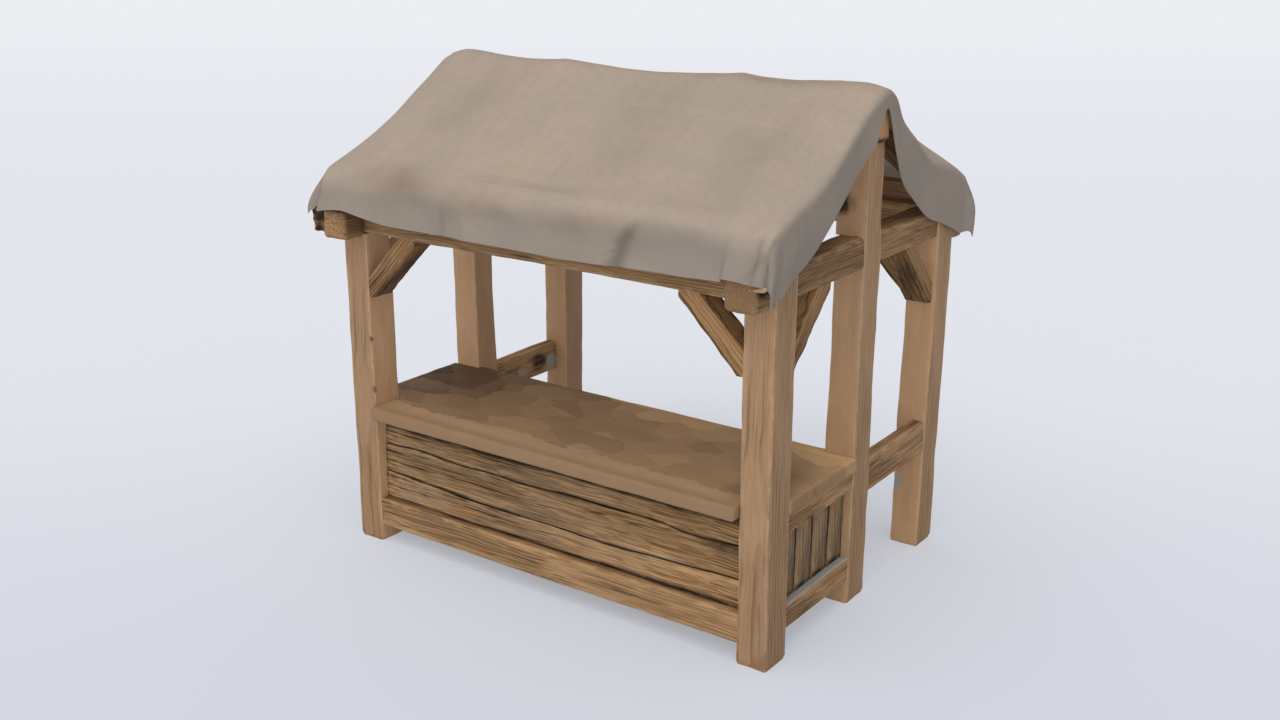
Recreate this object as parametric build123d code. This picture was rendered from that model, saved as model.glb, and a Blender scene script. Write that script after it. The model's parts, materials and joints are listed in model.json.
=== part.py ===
from build123d import *
import math
import os

# Timber market stall: a pitched cloth roof on six posts, with a boarded counter
# across the front half and an open bay behind it for the seller.
# Millimetres. X runs along the counter, the customers stand on the -Y side,
# +Z is up. The origin is on the ground at the middle of the plan.

# ---- overall ----
stall_length = 3000      # outer face of the end posts to outer face, along X
stall_depth = 2115       # outer face of the front posts to that of the back posts
tie_bottom = 2005        # headroom under the tie beams
rafter_pitch = 27.9      # degrees; with the depth, this sets the height of the ridge

# ---- posts ----
post_width = 183         # along X
post_depth = 204         # along Y
post_round = 14          # worn long edges
foot_chamfer = 24        # bevel round the feet
cheek_thickness = 40     # outer cheek of the forked post head
cheek_drop = 15          # the cheek stops this far below the top of the tie

# ---- tie beams and plates ----
tie_height = 175
tie_inset = 8            # the ties lie this far inside both faces of the posts
tie_round = 22           # long edges
tie_end_round = 18
tie_overhang = 178       # beyond the outer face of the front and back posts
plate_width = 160
plate_rise = 5           # underside of the plates above the underside of the ties
plate_top_gap = 2        # under the eave rails
plate_round = 16

# ---- ridge, eaves and rafters ----
ridge_width = 110
ridge_height = 235
ridge_overhang = 60      # beyond the outer faces of the middle posts
eave_width = 110
eave_height = 105
eave_inset = 105         # ends of the ties beyond the eave rails
rafter_width = 90
rafter_depth = 110       # square to the slope
rafter_peak = 50         # rafter tops above the ridge beam, on its centre line
birdsmouth = 65          # level seat of a rafter on the eave rail
inner_rafter_x = 630     # centre of the two inner pairs of rafters
gable_rafter_inset = 260 # centre of the outer pairs, from the outer faces of the posts

# ---- braces ----
brace_leg = 430
brace_depth = 118
brace_width = 150
brace_toe = 38           # blunt end instead of a feather edge
brace_tenon = 40         # both its length and its thickness

# ---- counter ----
counter_height = 918
counter_thickness = 80
counter_lip = 52         # in front of the posts
counter_back = -65       # Y of its back edge
counter_end_lip = 19     # beyond the outer faces of the posts
counter_round = 10
counter_mitre = 22       # corners of the lip, where it meets the posts
board_thickness = 34
board_gap = 2
board_step = 5           # each board stands this much proud of the one above
seam_wave = 9            # waney edges: rise and fall of a seam
seam_wave_length = 1700
front_board_recess = 75  # board faces behind the front faces of the posts
end_board_recess = 50
end_board_count = 4
front_rail_bottom = 110
front_rail_height = 180
front_rail_thickness = 110
front_rail_recess = 7
end_rail_bottom = 150
end_rail_height = 150
top_rail_height = 120
end_rail_thickness = 76
end_rail_recess = 5
back_rail_thickness = 75
back_rail_inset = 2      # behind the front faces of the middle posts
front_seams = (0.30, 0.655)   # board seams as shares of the boarded height

# ---- side rails behind the counter ----
side_rail_top = 845
side_rail_height = 205
side_rail_thickness = 86

# ---- rounding of the lesser timbers ----
rail_round = 7
side_rail_round = 10
ridge_round = 8

# ---- joints ----
tenon_length = 45
tenon_shoulder = 0.3     # share of the rail's section cut away on each side
joint_gap = 0.5          # clearance round tenons and laps
overcut = 1              # cutting solids run this far past the faces they cut

# ---- cloth roof ----
cloth_thickness = 12
cloth_clearance = 1      # between the cloth and the rafters
cloth_side = 100         # beyond the outer faces of the posts, at each gable
cloth_eave_gap = 20      # between the hanging edge and the eave rails
cloth_hem_rise = 85      # hanging edge above the underside of the ties
gable_flap = 225         # height of the flap that hangs at each gable
hem_lift = 5             # the hanging edge clears the tops of the tie ends by this
hem_lift_side = 15       # and begins to rise this far inside them

# ---- worked out from the sizes above ----
half_length = stall_length / 2
half_depth = stall_depth / 2
post_x = half_length - post_width / 2
inner_face = half_length - post_width
tie_top = tie_bottom + tie_height
tie_half = half_depth + tie_overhang
tie_outer = half_length - tie_inset
tie_inner = inner_face + tie_inset
eave_outer = tie_half - eave_inset
eave_top = tie_top + eave_height
slope = math.tan(math.radians(rafter_pitch))
rafter_drop = rafter_depth / math.cos(math.radians(rafter_pitch))
peak = eave_top + rafter_drop + slope * (eave_outer - birdsmouth)
ridge_top = peak - rafter_peak
ridge_bottom = ridge_top - ridge_height
counter_bottom = counter_height - counter_thickness
counter_front = -half_depth - counter_lip
cloth_hem = tie_bottom + cloth_hem_rise
boards_bottom = front_rail_bottom + front_rail_height


def block(x0, x1, y0, y1, z0, z1):
    """A plain box between two corners."""
    centre = ((x0 + x1) / 2, (y0 + y1) / 2, (z0 + z1) / 2)
    return Pos(*centre) * Box(abs(x1 - x0), abs(y1 - y0), abs(z1 - z0))


def timber(x0, x1, y0, y1, z0, z1, along, radius):
    """A squared timber with its four long edges rounded."""
    solid = block(x0, x1, y0, y1, z0, z1)
    return fillet(solid.edges().filter_by(along), radius)


def post_shaft(y_centre, height):
    """A right-hand post: rounded long edges and a bevelled foot."""
    foot = RectangleRounded(post_width - 2 * foot_chamfer, post_depth - 2 * foot_chamfer, post_round)
    section = Pos(0, 0, foot_chamfer) * RectangleRounded(post_width, post_depth, post_round)
    shaft = loft([foot, section], ruled=True) + extrude(section, amount=height - foot_chamfer)
    return Pos(post_x, y_centre, 0) * shaft


def tenon(x0, x1, y0, y1, z0, z1, along, grow=0.0):
    """The stub tenons of a rail, or with grow the mortises that take them."""
    low = [x0, y0, z0]
    high = [x1, y1, z1]
    axis = {Axis.X: 0, Axis.Y: 1}[along]
    for side in range(3):
        if side == axis:
            low[side] -= tenon_length + grow
            high[side] += tenon_length + grow
        else:
            cut = (high[side] - low[side]) * tenon_shoulder
            low[side] += cut - grow
            high[side] -= cut - grow
    return block(low[0], high[0], low[1], high[1], low[2], high[2])


def mirror_x(solid):
    return mirror(solid, about=Plane.YZ)


def mirror_y(solid):
    return mirror(solid, about=Plane.XZ)


# ---- rails: each is a box that the posts also need, for their mortises ----
front_rail_box = (
    -inner_face, inner_face,
    -half_depth + front_rail_recess, -half_depth + front_rail_recess + front_rail_thickness,
    front_rail_bottom, front_rail_bottom + front_rail_height,
)
back_rail_y = -post_depth / 2 + back_rail_inset
back_rail_box = (
    -inner_face, inner_face,
    back_rail_y, back_rail_y + back_rail_thickness,
    front_rail_bottom, front_rail_bottom + front_rail_height,
)
end_rail_x = (half_length - end_rail_recess - end_rail_thickness, half_length - end_rail_recess)
end_rail_y = (-half_depth + post_depth, -post_depth / 2)
low_end_box = (*end_rail_x, *end_rail_y, end_rail_bottom, end_rail_bottom + end_rail_height)
top_end_box = (*end_rail_x, *end_rail_y, counter_bottom - top_rail_height, counter_bottom)
side_rail_box = (
    half_length - end_rail_recess - side_rail_thickness, half_length - end_rail_recess,
    post_depth / 2, half_depth - post_depth,
    side_rail_top - side_rail_height, side_rail_top,
)
plate_box = (
    -tie_inner, tie_inner,
    -half_depth, -half_depth + plate_width,
    tie_bottom + plate_rise, tie_top - plate_top_gap,
)


def rail(box, along, radius):
    return timber(*box, along, radius) + tenon(*box, along)


def rafter_outline(y):
    """Height of the top of a rafter at a distance y from the ridge."""
    return peak - slope * y


def mirrored_box(box):
    x0, x1, y0, y1, z0, z1 = box
    return (x0, x1, -y1, -y0, z0, z1)


def eave_rail():
    """The front eave rail, laid flat on the ends of the ties."""
    return timber(
        -half_length, half_length, -eave_outer, -eave_outer + eave_width,
        tie_top, eave_top, Axis.X, post_round,
    )


def ridge_beam():
    reach = half_length + ridge_overhang
    half = ridge_width / 2
    return timber(-reach, reach, -half, half, ridge_bottom, ridge_top, Axis.X, ridge_round)


def front_rafter(x):
    """A rafter halved over the ridge beam, with a birdsmouth on the eave rail."""
    half = ridge_width / 2
    seat_y = eave_outer - birdsmouth
    points = [
        (0, rafter_outline(0)),
        (-eave_outer, rafter_outline(eave_outer)),
        (-eave_outer, eave_top),
        (-seat_y, eave_top),
        (-half, rafter_outline(half) - rafter_drop),
        (-half, ridge_top),
        (0, ridge_top),
    ]
    outline = Plane.YZ.offset(x - rafter_width / 2) * make_face(Polyline(*points, close=True))
    return extrude(outline, amount=rafter_width)


def brace_profile():
    """Side view of a brace: x runs along the beam from the post, y down the post."""
    upper = brace_leg - brace_depth * math.sqrt(2)
    blunt = brace_leg - brace_toe
    points = [(0, -upper), (0, -blunt), (brace_toe, -blunt), (blunt, -brace_toe), (blunt, 0), (upper, 0)]
    return make_face(Polyline(*points, close=True))


def brace_tenons(grow=0.0):
    """Side view of its two tenons, or with grow of the mortises that take them."""
    upper = brace_leg - brace_depth * math.sqrt(2)
    blunt = brace_leg - brace_toe
    deep = brace_tenon
    in_post = [(grow, -upper), (-deep, -upper - deep), (-deep, -blunt), (grow, -blunt)]
    in_beam = [(upper, -grow), (upper + deep, deep), (blunt, deep), (blunt, -grow)]
    faces = [make_face(Polyline(*points, close=True)) for points in (in_post, in_beam)]
    if grow:
        faces = [offset(face, amount=grow, kind=Kind.INTERSECTION) for face in faces]
    return faces


def brace_slab(face, plane, width):
    """A side view set in its plane and given its width, half to each side."""
    return extrude(plane * face, amount=width / 2, both=True)


def brace(plane):
    solid = brace_slab(brace_profile(), plane, brace_width)
    for face in brace_tenons():
        solid += brace_slab(face, plane, brace_tenon)
    return solid


def brace_mortises(plane):
    """Both mortises of a brace, as solids to cut from the post and the beam."""
    cuts = [
        brace_slab(face, plane, brace_tenon + 2 * joint_gap) for face in brace_tenons(joint_gap)
    ]
    return cuts[0] + cuts[1]


# front right corner: one brace runs back to the left along the plate, one along the tie
plate_brace_plane = Plane(
    origin=(inner_face, -half_depth + plate_width / 2, plate_box[4]), x_dir=(-1, 0, 0), z_dir=(0, 1, 0)
)
tie_brace_plane = Plane(
    origin=(post_x, -half_depth + post_depth, tie_bottom), x_dir=(0, 1, 0), z_dir=(1, 0, 0)
)


def plate(front):
    """A plate between the ties, mortised for its two braces."""
    solid = rail(plate_box, Axis.X, plate_round)
    cut = brace_mortises(plate_brace_plane)
    solid -= cut + mirror_x(cut)
    return solid if front else mirror_y(solid)


def corner_post(front):
    """A right-hand corner post with a forked head: the tie beam lies in the fork."""
    y0 = -half_depth if front else half_depth - post_depth
    head = tie_top - cheek_drop
    post = post_shaft(y0 + post_depth / 2, head)
    fork = block(
        inner_face - overcut, half_length - cheek_thickness,
        y0 - overcut, y0 + post_depth + overcut, tie_bottom, head + overcut,
    )
    post -= fork
    if front:
        for box, along in ((front_rail_box, Axis.X), (low_end_box, Axis.Y), (top_end_box, Axis.Y)):
            post -= tenon(*box, along, joint_gap)
    else:
        post -= tenon(*side_rail_box, Axis.Y, joint_gap)
    for plane in (plate_brace_plane, tie_brace_plane):
        cut = brace_mortises(plane)
        post -= cut if front else mirror_y(cut)
    return post


def middle_post():
    """The right-hand middle post, ground to ridge, halved over the tie beam."""
    half = post_depth / 2
    post = post_shaft(0, ridge_bottom)
    lap = block(
        inner_face - overcut, post_x, -half - overcut, half + overcut,
        tie_bottom - joint_gap, tie_top + joint_gap,
    )
    post -= lap
    for box, along in (
        (back_rail_box, Axis.X), (low_end_box, Axis.Y),
        (top_end_box, Axis.Y), (side_rail_box, Axis.Y),
    ):
        post -= tenon(*box, along, joint_gap)
    return post


def tie_beam():
    """The right-hand tie: rebated for the post cheeks, halved at the middle post."""
    tie = timber(tie_inner, tie_outer, -tie_half, tie_half, tie_bottom, tie_top, Axis.Y, tie_round)
    ends = tie.faces().filter_by(Axis.Y).edges()
    tie = fillet(ends, tie_end_round)
    cheek_face = half_length - cheek_thickness - joint_gap
    for y0 in (-half_depth, half_depth - post_depth):
        tie -= block(
            cheek_face, tie_outer + overcut, y0 - joint_gap, y0 + post_depth + joint_gap,
            tie_bottom - overcut, tie_top + overcut,
        )
    half = post_depth / 2 + joint_gap
    tie -= block(
        post_x - joint_gap, tie_outer + overcut, -half, half,
        tie_bottom - overcut, tie_top + overcut,
    )
    for box in (plate_box, mirrored_box(plate_box)):
        tie -= tenon(*box, Axis.X, joint_gap)
    cut = brace_mortises(tie_brace_plane)
    tie -= cut + mirror_y(cut)
    return tie


def counter_top():
    """One thick top, notched round the four posts that stand in it."""
    top = block(-inner_face, inner_face, counter_front, counter_back, counter_bottom, counter_height)
    reach = half_length + counter_end_lip
    top += block(
        -reach, reach, -half_depth + post_depth, -post_depth / 2, counter_bottom, counter_height
    )
    lip_corners = top.edges().filter_by(Axis.Z).sort_by(Axis.Y)[:2]
    top = chamfer(lip_corners, counter_mitre)
    front_edges = top.edges().filter_by(Axis.X).sort_by(Axis.Y)[:2]
    return fillet(front_edges, counter_round)


def seam_line(share, turn, lift):
    """A waney seam across the counter: its height rises and falls along X."""
    level = boards_bottom + share * (counter_bottom - boards_bottom) + lift
    steps = 8
    points = []
    for n in range(steps + 1):
        x = -inner_face + 2 * inner_face * n / steps
        angle = 2 * math.pi * x / seam_wave_length + turn
        points.append((x, level + seam_wave * (math.sin(angle) + 0.4 * math.sin(2.3 * angle))))
    return Spline(*points)


def long_boards(face_y, outward):
    """Three boards with waney edges; the lower ones stand a little proud."""
    ends = (-inner_face, inner_face)
    level_bottom = Line(*[(x, boards_bottom) for x in ends])
    level_top = Line(*[(x, counter_bottom) for x in ends])
    below = [seam_line(share, 2.0 * n, -board_gap / 2) for n, share in enumerate(front_seams)]
    above = [seam_line(share, 2.0 * n, board_gap / 2) for n, share in enumerate(front_seams)]
    boards = []
    for n, (low, high) in enumerate(zip([level_bottom] + above, below + [level_top])):
        sides = [Line(low @ end, high @ end) for end in (0, 1)]
        face = make_face([low, sides[1], high, sides[0]])
        outer = face_y + outward * board_step * (len(front_seams) - n)
        near = max(outer, outer - outward * board_thickness)
        boards.append(extrude(Plane.XZ.offset(-near) * face, amount=board_thickness))
    return Compound(boards)


def end_boards():
    """Upright boards that close the right-hand end of the counter."""
    outer = half_length - end_board_recess
    y0, y1 = end_rail_y
    pitch = (y1 - y0) / end_board_count
    boards = []
    for n in range(end_board_count):
        start = y0 + n * pitch
        stop = start + pitch - (board_gap if n < end_board_count - 1 else 0)
        boards.append(
            block(
                outer - board_thickness, outer, start, stop,
                end_rail_bottom + end_rail_height, counter_bottom - top_rail_height,
            )
        )
    return Compound(boards)


def roof_section(inset):
    """Half-closed gable outline of the cloth, moved in by inset."""
    eave = eave_outer + cloth_eave_gap + cloth_thickness - inset
    top = peak + cloth_clearance + cloth_thickness / math.cos(math.radians(rafter_pitch))
    top -= inset / math.cos(math.radians(rafter_pitch))
    knee = top - slope * eave
    return [
        (-eave, cloth_hem), (-eave, knee), (0, top), (eave, knee), (eave, cloth_hem),
    ]


def canopy():
    """The cloth: two slopes, a hanging edge front and back, and a flap at each gable."""
    reach = half_length + cloth_side
    outer_face = Plane.YZ.offset(-reach) * make_face(Polyline(*roof_section(0), close=True))
    shell = extrude(outer_face, amount=2 * reach)
    hollow_reach = reach - cloth_thickness
    inner_outline = roof_section(cloth_thickness)
    inner_outline[0] = (inner_outline[0][0], cloth_hem - overcut)
    inner_outline[-1] = (inner_outline[-1][0], cloth_hem - overcut)
    inner_face_2d = Plane.YZ.offset(-hollow_reach) * make_face(Polyline(*inner_outline, close=True))
    shell -= extrude(inner_face_2d, amount=2 * hollow_reach)
    # the gables are open below the flaps
    eave_in = eave_outer + cloth_eave_gap
    top = roof_section(0)[2][1] - gable_flap
    gap = [(-eave_in, cloth_hem - overcut), (-eave_in, top - slope * eave_in), (0, top)]
    gap += [(eave_in, top - slope * eave_in), (eave_in, cloth_hem - overcut)]
    gable = Plane.YZ.offset(-reach - overcut) * make_face(Polyline(*gap, close=True))
    shell -= extrude(gable, amount=2 * (reach + overcut))
    # the hanging edge is lifted where it meets the ends of the ties
    for side in (-1, 1):
        for edge in (-1, 1):
            shell -= block(
                side * (tie_inner - hem_lift_side), side * (reach + overcut),
                edge * (eave_in - overcut), edge * (eave_in + cloth_thickness + overcut),
                cloth_hem - overcut, tie_top + hem_lift,
            )
    return shell


def build():
    parts = {}
    both = (("right", lambda s: s), ("left", mirror_x))
    for side, place in both:
        parts["post_front_" + side] = place(corner_post(True))
        parts["post_middle_" + side] = place(middle_post())
        parts["post_back_" + side] = place(corner_post(False))
        parts["tie_beam_" + side] = place(tie_beam())
        parts["brace_front_plate_" + side] = place(brace(plate_brace_plane))
        parts["brace_back_plate_" + side] = place(mirror_y(brace(plate_brace_plane)))
        parts["brace_front_tie_" + side] = place(brace(tie_brace_plane))
        parts["brace_back_tie_" + side] = place(mirror_y(brace(tie_brace_plane)))
        parts["counter_top_rail_" + side] = place(rail(top_end_box, Axis.Y, rail_round))
        parts["counter_low_rail_" + side] = place(rail(low_end_box, Axis.Y, rail_round))
        parts["counter_end_boards_" + side] = place(end_boards())
        parts["side_rail_" + side] = place(rail(side_rail_box, Axis.Y, side_rail_round))
        gable_x = half_length - gable_rafter_inset
        for name, x in (("gable", gable_x), ("inner", inner_rafter_x)):
            parts["rafter_front_" + name + "_" + side] = place(front_rafter(x))
            parts["rafter_back_" + name + "_" + side] = place(mirror_y(front_rafter(x)))
    parts["plate_front"] = plate(front=True)
    parts["plate_back"] = plate(front=False)
    parts["eave_rail_front"] = eave_rail()
    parts["eave_rail_back"] = mirror_y(eave_rail())
    parts["ridge_beam"] = ridge_beam()
    parts["counter_top"] = counter_top()
    parts["counter_front_rail"] = rail(front_rail_box, Axis.X, rail_round)
    parts["counter_back_rail"] = rail(back_rail_box, Axis.X, rail_round)
    parts["counter_front_boards"] = long_boards(-half_depth + front_board_recess, -1)
    parts["counter_back_boards"] = long_boards(back_rail_y + board_thickness, 1)
    parts["cloth_roof"] = canopy()
    return parts


os.makedirs("parts", exist_ok=True)
for node, shape in build().items():
    export_step(shape, "parts/" + node + ".step")
    print(node)
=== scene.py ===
# %% [markdown]
# # A timber market stall with a cloth roof
# This lesson dresses a CAD frame of a small market stall: six hewn posts, two tie beams, a boarded
# counter and a canvas thrown over the rafters. The CAD parts give every size and place. Here the
# timbers get their worn edges, grain, stains and painted shade, and the roof becomes one draped
# sheet of canvas.

# %% Load the imported model
import json
import math

import bpy
from mathutils import Matrix, Vector, noise

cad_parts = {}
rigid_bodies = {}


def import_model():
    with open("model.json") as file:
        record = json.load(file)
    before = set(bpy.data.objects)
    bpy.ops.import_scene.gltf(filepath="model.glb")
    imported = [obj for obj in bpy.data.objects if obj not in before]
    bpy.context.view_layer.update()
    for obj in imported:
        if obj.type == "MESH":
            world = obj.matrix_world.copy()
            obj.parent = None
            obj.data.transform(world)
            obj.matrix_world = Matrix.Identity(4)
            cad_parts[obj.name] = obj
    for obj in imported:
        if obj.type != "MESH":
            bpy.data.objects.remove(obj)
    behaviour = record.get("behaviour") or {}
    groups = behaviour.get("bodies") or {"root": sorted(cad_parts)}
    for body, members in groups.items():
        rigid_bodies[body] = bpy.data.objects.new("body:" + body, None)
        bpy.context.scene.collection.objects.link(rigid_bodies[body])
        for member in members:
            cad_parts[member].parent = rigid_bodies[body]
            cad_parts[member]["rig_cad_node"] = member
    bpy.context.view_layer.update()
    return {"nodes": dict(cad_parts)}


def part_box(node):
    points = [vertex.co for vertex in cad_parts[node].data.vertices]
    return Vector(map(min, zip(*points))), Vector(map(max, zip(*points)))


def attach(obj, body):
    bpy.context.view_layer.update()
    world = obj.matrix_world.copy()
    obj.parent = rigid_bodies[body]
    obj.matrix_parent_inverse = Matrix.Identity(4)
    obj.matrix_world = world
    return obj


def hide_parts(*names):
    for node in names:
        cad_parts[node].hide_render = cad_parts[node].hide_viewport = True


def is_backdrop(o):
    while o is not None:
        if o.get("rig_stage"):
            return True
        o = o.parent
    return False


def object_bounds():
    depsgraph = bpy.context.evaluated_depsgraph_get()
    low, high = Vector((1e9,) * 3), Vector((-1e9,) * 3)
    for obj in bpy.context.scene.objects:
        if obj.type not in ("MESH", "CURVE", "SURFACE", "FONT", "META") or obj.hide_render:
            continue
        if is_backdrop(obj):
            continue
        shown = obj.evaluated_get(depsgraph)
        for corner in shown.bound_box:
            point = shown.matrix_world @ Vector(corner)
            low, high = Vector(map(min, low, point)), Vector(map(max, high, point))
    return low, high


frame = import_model()

# %% [markdown]
# ## A bench of small tools
# Modelling from code is the same as modelling by hand: put everything down, pick one piece up,
# open it in edit mode with the right edges or faces selected, and run one operator. These helpers
# say that once. A node tree is written as a chain of calls, where a socket given as an input is
# linked and anything else is typed in.

# %% Picking up, putting down, selecting
AXIS = {"X": 0, "Y": 1, "Z": 2}
SIDES = (("right", 1), ("left", -1))
ROWS = (("front", -1), ("back", 1))


def put_down():
    """Object mode, with nothing selected."""
    if bpy.context.mode != "OBJECT":
        bpy.ops.object.mode_set(mode="OBJECT")
    bpy.ops.object.select_all(action="DESELECT")


def pick_up(piece):
    put_down()
    piece.select_set(True)
    bpy.context.view_layer.objects.active = piece


def new_piece(name):
    """The object that an operator has just added, under its own name."""
    piece = bpy.context.object
    piece.name = piece.data.name = name
    return piece


def settle_place():
    """Puts the place, turn and size of what is picked up into its mesh."""
    bpy.ops.object.transform_apply(location=True, rotation=True, scale=True)


def choose(piece, kind, test):
    """Opens the piece in edit mode with only the VERT, EDGE or FACE items selected that pass."""
    pick_up(piece)
    bpy.context.tool_settings.mesh_select_mode = [kind == m for m in ("VERT", "EDGE", "FACE")]
    mesh = piece.data
    groups = {"VERT": mesh.vertices, "EDGE": mesh.edges, "FACE": mesh.polygons}
    for group in groups.values():
        group.foreach_set("select", [False] * len(group))
    for item in groups[kind]:
        item.select = bool(test(item))
    bpy.ops.object.mode_set(mode="EDIT")


def points(piece):
    """The live coordinates of the piece's corners."""
    return [vertex.co for vertex in piece.data.vertices]


def modify(piece, kind, **settings):
    modifier = piece.modifiers.new(kind, kind)
    for key, value in settings.items():
        setattr(modifier, key, value)


def apply_all(piece):
    """Applies every modifier on the piece, in order."""
    pick_up(piece)
    for name in [m.name for m in piece.modifiers]:
        bpy.ops.object.modifier_apply(modifier=name)


# %% Blocks, even splits and cuts
def squared_block(name, corner, opposite):
    """A sawn block between two opposite corners, with its place in its mesh."""
    put_down()
    low, high = (Vector(map(pick, corner, opposite)) for pick in (min, max))
    bpy.ops.mesh.primitive_cube_add(size=1, location=(low + high) / 2, scale=high - low)
    piece = new_piece(name)
    settle_place()
    return piece


def split_edges(piece, **spacings):
    """Splits the edges that run along each axis given into steps of about its spacing."""
    mesh = piece.data
    for axis, spacing in spacings.items():

        def span(edge):
            start, end = (mesh.vertices[i].co for i in edge.vertices)
            run = end - start
            return round(run.length, 4) if abs(run[AXIS[axis]]) > 0.999 * run.length else 0

        for length in sorted({span(e) for e in mesh.edges} - {0}):
            cuts = round(length / spacing) - 1
            if cuts > 0:
                choose(piece, "EDGE", lambda e: span(e) == length)
                bpy.ops.mesh.subdivide(number_cuts=cuts)
                put_down()


def cut_away(piece, corner, opposite):
    """Cuts the box between two corners out of the piece, as a saw and chisel would."""
    cutter = squared_block("cutter", corner, opposite)
    modify(piece, "BOOLEAN", operation="DIFFERENCE", solver="EXACT", object=cutter)
    apply_all(piece)
    bpy.data.objects.remove(cutter)


def bisect(piece, point, normal, saw_off=False):
    """Splits the piece along a plane; saw_off takes what lies beyond away and closes the cut."""
    choose(piece, "VERT", lambda v: True)
    bpy.ops.mesh.bisect(plane_co=point, plane_no=normal, use_fill=saw_off, clear_outer=saw_off)
    put_down()


# %% Soft steps
def clamp(value):
    return max(0.0, min(1.0, value))


def smooth(value, start, stop):
    share = clamp((value - start) / (stop - start))
    return share * share * (3 - 2 * share)


def bell(value, middle, width):
    return math.exp(-((value - middle) / width) ** 2)


# %% Writing node trees
def paint(red, green, blue):
    """A colour as seen on screen, 0 to 255, as the linear value that a shader wants."""
    def linear(c):
        c /= 255
        return c / 12.92 if c <= 0.04045 else ((c + 0.055) / 1.055) ** 2.4
    return (linear(red), linear(green), linear(blue), 1.0)


class Recipe:
    """Writes the node tree of a material or a world, one call for each node."""

    def __init__(self, holder):
        holder.use_nodes = True
        self.holder = holder
        self.nodes = holder.node_tree.nodes

    def fill(self, node, **settings):
        """Sets the node's own properties, and links or types in its inputs."""
        for key, value in settings.items():
            if hasattr(node, key):
                setattr(node, key, value)
                continue
            socket = node.inputs[int(key[1:]) if key[1:].isdigit() else key.replace("_", " ")]
            if isinstance(value, bpy.types.NodeSocket):
                self.holder.node_tree.links.new(value, socket)
            else:
                socket.default_value = value

    def step(self, kind, out=0, **settings):
        """Adds a shader node and hands on one of its outputs."""
        node = self.nodes.new("ShaderNode" + kind)
        self.fill(node, **settings)
        return node.outputs[out]

    def maths(self, operation, *values, kind="Math", out=0):
        inputs = {f"i{n}": value for n, value in enumerate(values)}
        return self.step(kind, out, operation=operation, **inputs)

    def vector(self, operation, *values, out=0):
        return self.maths(operation, *values, kind="VectorMath", out=out)

    def times(self, first, *factors):
        for factor in factors:
            first = self.maths("MULTIPLY", first, factor)
        return first

    def plus(self, a, b):
        return self.maths("ADD", a, b)

    def times_plus(self, a, b, c):
        return self.maths("MULTIPLY_ADD", a, b, c)

    def ramp(self, value, start, stop, low=0.0, high=1.0):
        """Soft step from low to high while value goes from start to stop."""
        return self.step("MapRange", interpolation_type="SMOOTHSTEP", Value=value,
                         From_Min=start, From_Max=stop, To_Min=low, To_Max=high)

    def mix(self, share, a, b):
        return self.step("Mix", 2, data_type="RGBA", i0=share, i6=a, i7=b)

    def speckle(self, place, scale, detail=2.0, rough=0.5):
        return self.step("TexNoise", Vector=place, Scale=scale, Detail=detail, Roughness=rough)

    def stretched(self, place, scale):
        return self.step("Mapping", Vector=place, Scale=scale)

    def read(self, label, out="Fac"):
        """An attribute that the mesh carries."""
        return self.step("Attribute", out, attribute_name=label)

    def surface(self, colour, rough, gloss, relief, depth, height):
        """Wires the finished channels to the shader; relief and depth set the bump."""
        bump = self.step("Bump", Strength=relief, Distance=depth, Height=height)
        self.fill(self.nodes["Principled BSDF"], Base_Color=colour, Roughness=rough,
                  Specular_IOR_Level=gloss, Normal=bump)
        return self.holder


# %% [markdown]
# ## The studio
# A pale sweep of floor, a soft sky, one very wide lamp nearly overhead and a front fill that throws
# no shadow. Together they light a wall that faces the front at about the level at which a colour
# shows as written, so the finishes below can be mixed directly. The camera stands to the front
# right, above eye height.

# %% Camera
def set_up(name, data, turn, place=(0, 0, 0)):
    """Stands a camera or a lamp in the scene."""
    thing = bpy.data.objects.new(name, data)
    thing.location, thing.rotation_euler = place, turn
    scene.collection.objects.link(thing)
    return thing


scene = bpy.context.scene
camera_data = bpy.data.cameras.new("camera")
camera_data.lens = 39.81
camera_data.sensor_width = 36.0
camera_turn = [math.radians(a) for a in (72.243, -0.204, 35.239)]
scene.camera = set_up("camera", camera_data, camera_turn, (4.7925, -6.8769, 3.8728))
scene.view_settings.view_transform = "Standard"

# %% Lamps and sky
for name, strength, spread, shines, shadow in (
    ("soft_key", 1.14, 70, (-0.06, 0.36, -0.93), True),
    # as a pair of large soft boxes beside the camera would light it
    ("front_fill", 1.36, 60, (-0.25, 0.93, -0.28), False),
):
    lamp = bpy.data.lights.new(name, "SUN")
    lamp.energy, lamp.angle, lamp.use_shadow = strength, math.radians(spread), shadow
    lamp.color = (1.0, 0.985, 0.96)
    set_up(name, lamp, Vector(shines).to_track_quat("-Z", "Y").to_euler())

# the sky lights the stall whitely, and is seen and mirrored a little bluer
scene.world = bpy.data.worlds.new("studio_sky")
r = Recipe(scene.world)
light = r.nodes["Background"]
r.fill(light, Color=(0.96, 0.97, 0.99, 1.0), Strength=0.50)
backdrop = r.step("Background", Color=(0.84, 0.855, 0.896, 1.0))
ray = r.step("LightPath", "Is Camera Ray")
seen = r.maths("MAXIMUM", ray, ray.node.outputs["Is Glossy Ray"])
sky = r.step("MixShader", i0=seen, i1=light.outputs[0], i2=backdrop)
r.fill(r.nodes["World Output"], Surface=sky)

# %% [markdown]
# ## The floor
# One big pale sheet. It is a little darker near the viewer and paler far off, as a studio sweep is,
# and keeps the soft shadow of the stall. It is staged, so it is no part of the object.

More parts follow.
